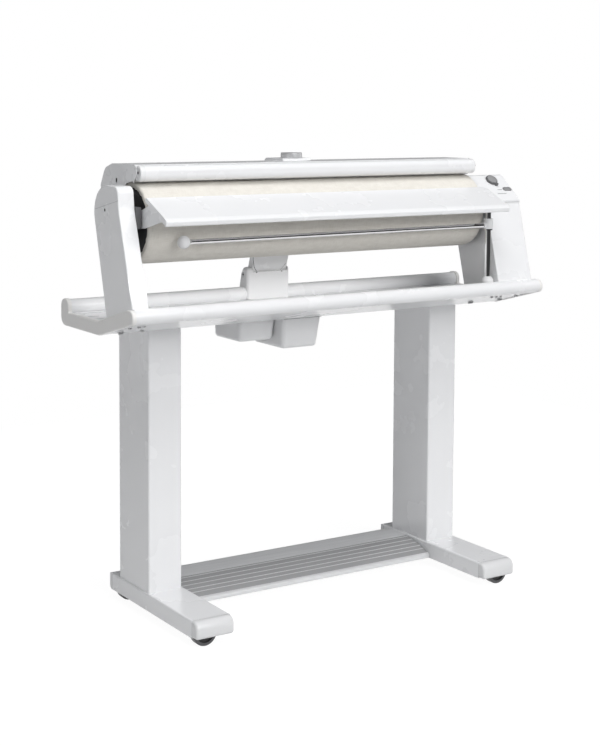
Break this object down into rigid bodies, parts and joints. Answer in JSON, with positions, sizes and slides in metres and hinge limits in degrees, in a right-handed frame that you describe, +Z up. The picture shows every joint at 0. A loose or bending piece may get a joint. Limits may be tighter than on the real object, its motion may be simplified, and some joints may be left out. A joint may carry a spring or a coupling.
{
  "type": "flatwork ironer",
  "caption": "Standing flatwork ironer: a padded motor roller under a lifting heated shoe, over a laundry tray, with a feed table, hanging rail, foot rest and wheels.",
  "frame": {"origin": "middle of the footprint, on the floor under the wheels", "axes": "+X along the roller to the control arm, +Y to the back, away from the user, +Z up"},
  "size_m": [0.985, 0.362, 0.911],
  "materials": {
    "white_paint": "gloss",
    "white_plastic": "gloss",
    "tread_aluminium": "satin",
    "grip_rubber": "matt",
    "black_wheel": "satin",
    "zinc_steel": "satin",
    "bright_chrome": "polished",
    "turned_metal": "turned",
    "dark_plastic": "satin",
    "roller_steel": "satin",
    "padding_felt": "felt",
    "linen_cloth": "woven",
    "shoe_aluminium": "polished",
    "heater_steel": "oxidised",
    "motor_iron": "painted"
  },
  "bodies": {
    "frame": {"button_switch": "dark_plastic", "column_left": "white_paint", "column_right": "white_paint", "control_cover": "white_plastic", "cover_screws": "zinc_steel", "foot_front_caps": "white_plastic", "foot_left": "white_paint", "foot_rear_caps": "white_plastic", "foot_right": "white_paint", "gear_motor": "motor_iron", "left_arm_cover": "white_plastic", "left_arm_shell": "white_paint", "lift_gear_casing": "white_plastic", "lift_motor": "motor_iron", "lift_motor_casing": "white_plastic", "pivot_block": "white_plastic", "pivot_pin": "zinc_steel", "post_bracket": "white_plastic", "post_foot": "white_plastic", "rail_post": "bright_chrome", "right_arm_shell": "white_paint", "roller_bearings": "zinc_steel", "table_pivots": "white_plastic", "tray_bolts": "zinc_steel", "tray_end_caps": "white_plastic", "tray_front_rail": "white_paint", "tray_pan": "white_paint", "tray_rear_rail": "white_paint", "wheel_axles": "zinc_steel", "wheel_mounts": "zinc_steel"},
    "roller": {"roller_core": "roller_steel", "roller_shaft": "roller_steel", "roller_padding": "padding_felt", "roller_cloth": "linen_cloth"},
    "shoe": {"heated_shoe": "shoe_aluminium", "heating_rods": "heater_steel", "hood_cover": "white_paint", "hood_ends": "white_paint", "lift_arm": "white_paint", "lift_bridge": "white_paint"},
    "guard": {"guard_bar": "white_paint", "guard_caps": "white_plastic"},
    "pressure_knob": {"pressure_knob": "turned_metal"},
    "table": {"feed_table": "white_paint", "table_brackets": "zinc_steel"},
    "rail_collar": {"rail_collar": "bright_chrome"},
    "rail": {"rail_clamp": "white_plastic", "rail_bar": "bright_chrome", "rail_ball": "white_plastic"},
    "foot_rest": {"foot_rest_plate": "tread_aluminium", "foot_rest_grips": "grip_rubber", "foot_rest_rod": "zinc_steel"},
    "control_knob": {"control_knob": "dark_plastic"},
    "power_button": {"power_button": "dark_plastic"},
    "wheel_front_left": {"wheel_front_left": "black_wheel"},
    "wheel_front_right": {"wheel_front_right": "black_wheel"},
    "wheel_rear_left": {"wheel_rear_left": "black_wheel"},
    "wheel_rear_right": {"wheel_rear_right": "black_wheel"}
  },
  "joints": [
    {"name": "roller_spin", "type": "hinge", "parent": "frame", "child": "roller", "pos_m": [0, -0.0068, 0.78505], "axis": [1, 0, 0], "continuous": true},
    {"name": "shoe_lift", "type": "hinge", "parent": "frame", "child": "shoe", "pos_m": [0, 0.158, 0.6515], "axis": [-1, 0, 0], "range_deg": [0, 6]},
    {"name": "guard_tilt", "type": "hinge", "parent": "shoe", "child": "guard", "pos_m": [0, -0.0335, 0.888], "axis": [-1, 0, 0], "range_deg": [0, 5], "stiffness_Nm_per_rad": 1, "springref_deg": -5.73},
    {"name": "pressure_knob_turn", "type": "hinge", "parent": "shoe", "child": "pressure_knob", "pos_m": [-0.0295, 0.053, 0.9], "axis": [0, 0, 1], "continuous": true},
    {"name": "table_tilt", "type": "hinge", "parent": "frame", "child": "table", "pos_m": [0, -0.05, 0.792], "axis": [1, 0, 0], "range_deg": [-15, 5]},
    {"name": "rail_slide", "type": "slide", "parent": "frame", "child": "rail_collar", "axis": [0, 0, 1], "range_m": [-0.09, 0.01]},
    {"name": "rail_swing", "type": "hinge", "parent": "rail_collar", "child": "rail", "pos_m": [0.3715, -0.097, 0.757], "axis": [0, 0, 1], "range_deg": [0, 85]},
    {"name": "foot_rest_tilt", "type": "hinge", "parent": "frame", "child": "foot_rest", "pos_m": [0, 0.128, 0.04], "axis": [1, 0, 0], "range_deg": [0, 3.5], "stiffness_Nm_per_rad": 20, "springref_deg": -6.88},
    {"name": "control_knob_turn", "type": "hinge", "parent": "frame", "child": "control_knob", "pos_m": [0.4384, -0.02661, 0.84536], "axis": [0, -0.6433, 0.7656], "range_deg": [-20, 250]},
    {"name": "power_button_press", "type": "slide", "parent": "frame", "child": "power_button", "axis": [0, 0.6433, -0.7656], "range_m": [0, 0.0015], "stiffness_N_per_m": 300, "springref_m": -0.001},
    {"name": "wheel_front_left_spin", "type": "hinge", "parent": "frame", "child": "wheel_front_left", "pos_m": [-0.3555, -0.1542, 0.025], "axis": [0, 1, 0], "continuous": true},
    {"name": "wheel_rear_left_spin", "type": "hinge", "parent": "frame", "child": "wheel_rear_left", "pos_m": [-0.3555, 0.1542, 0.025], "axis": [0, 1, 0], "continuous": true},
    {"name": "wheel_front_right_spin", "type": "hinge", "parent": "frame", "child": "wheel_front_right", "pos_m": [0.3555, -0.1542, 0.025], "axis": [0, 1, 0], "continuous": true},
    {"name": "wheel_rear_right_spin", "type": "hinge", "parent": "frame", "child": "wheel_rear_right", "pos_m": [0.3555, 0.1542, 0.025], "axis": [0, 1, 0], "continuous": true}
  ]
}
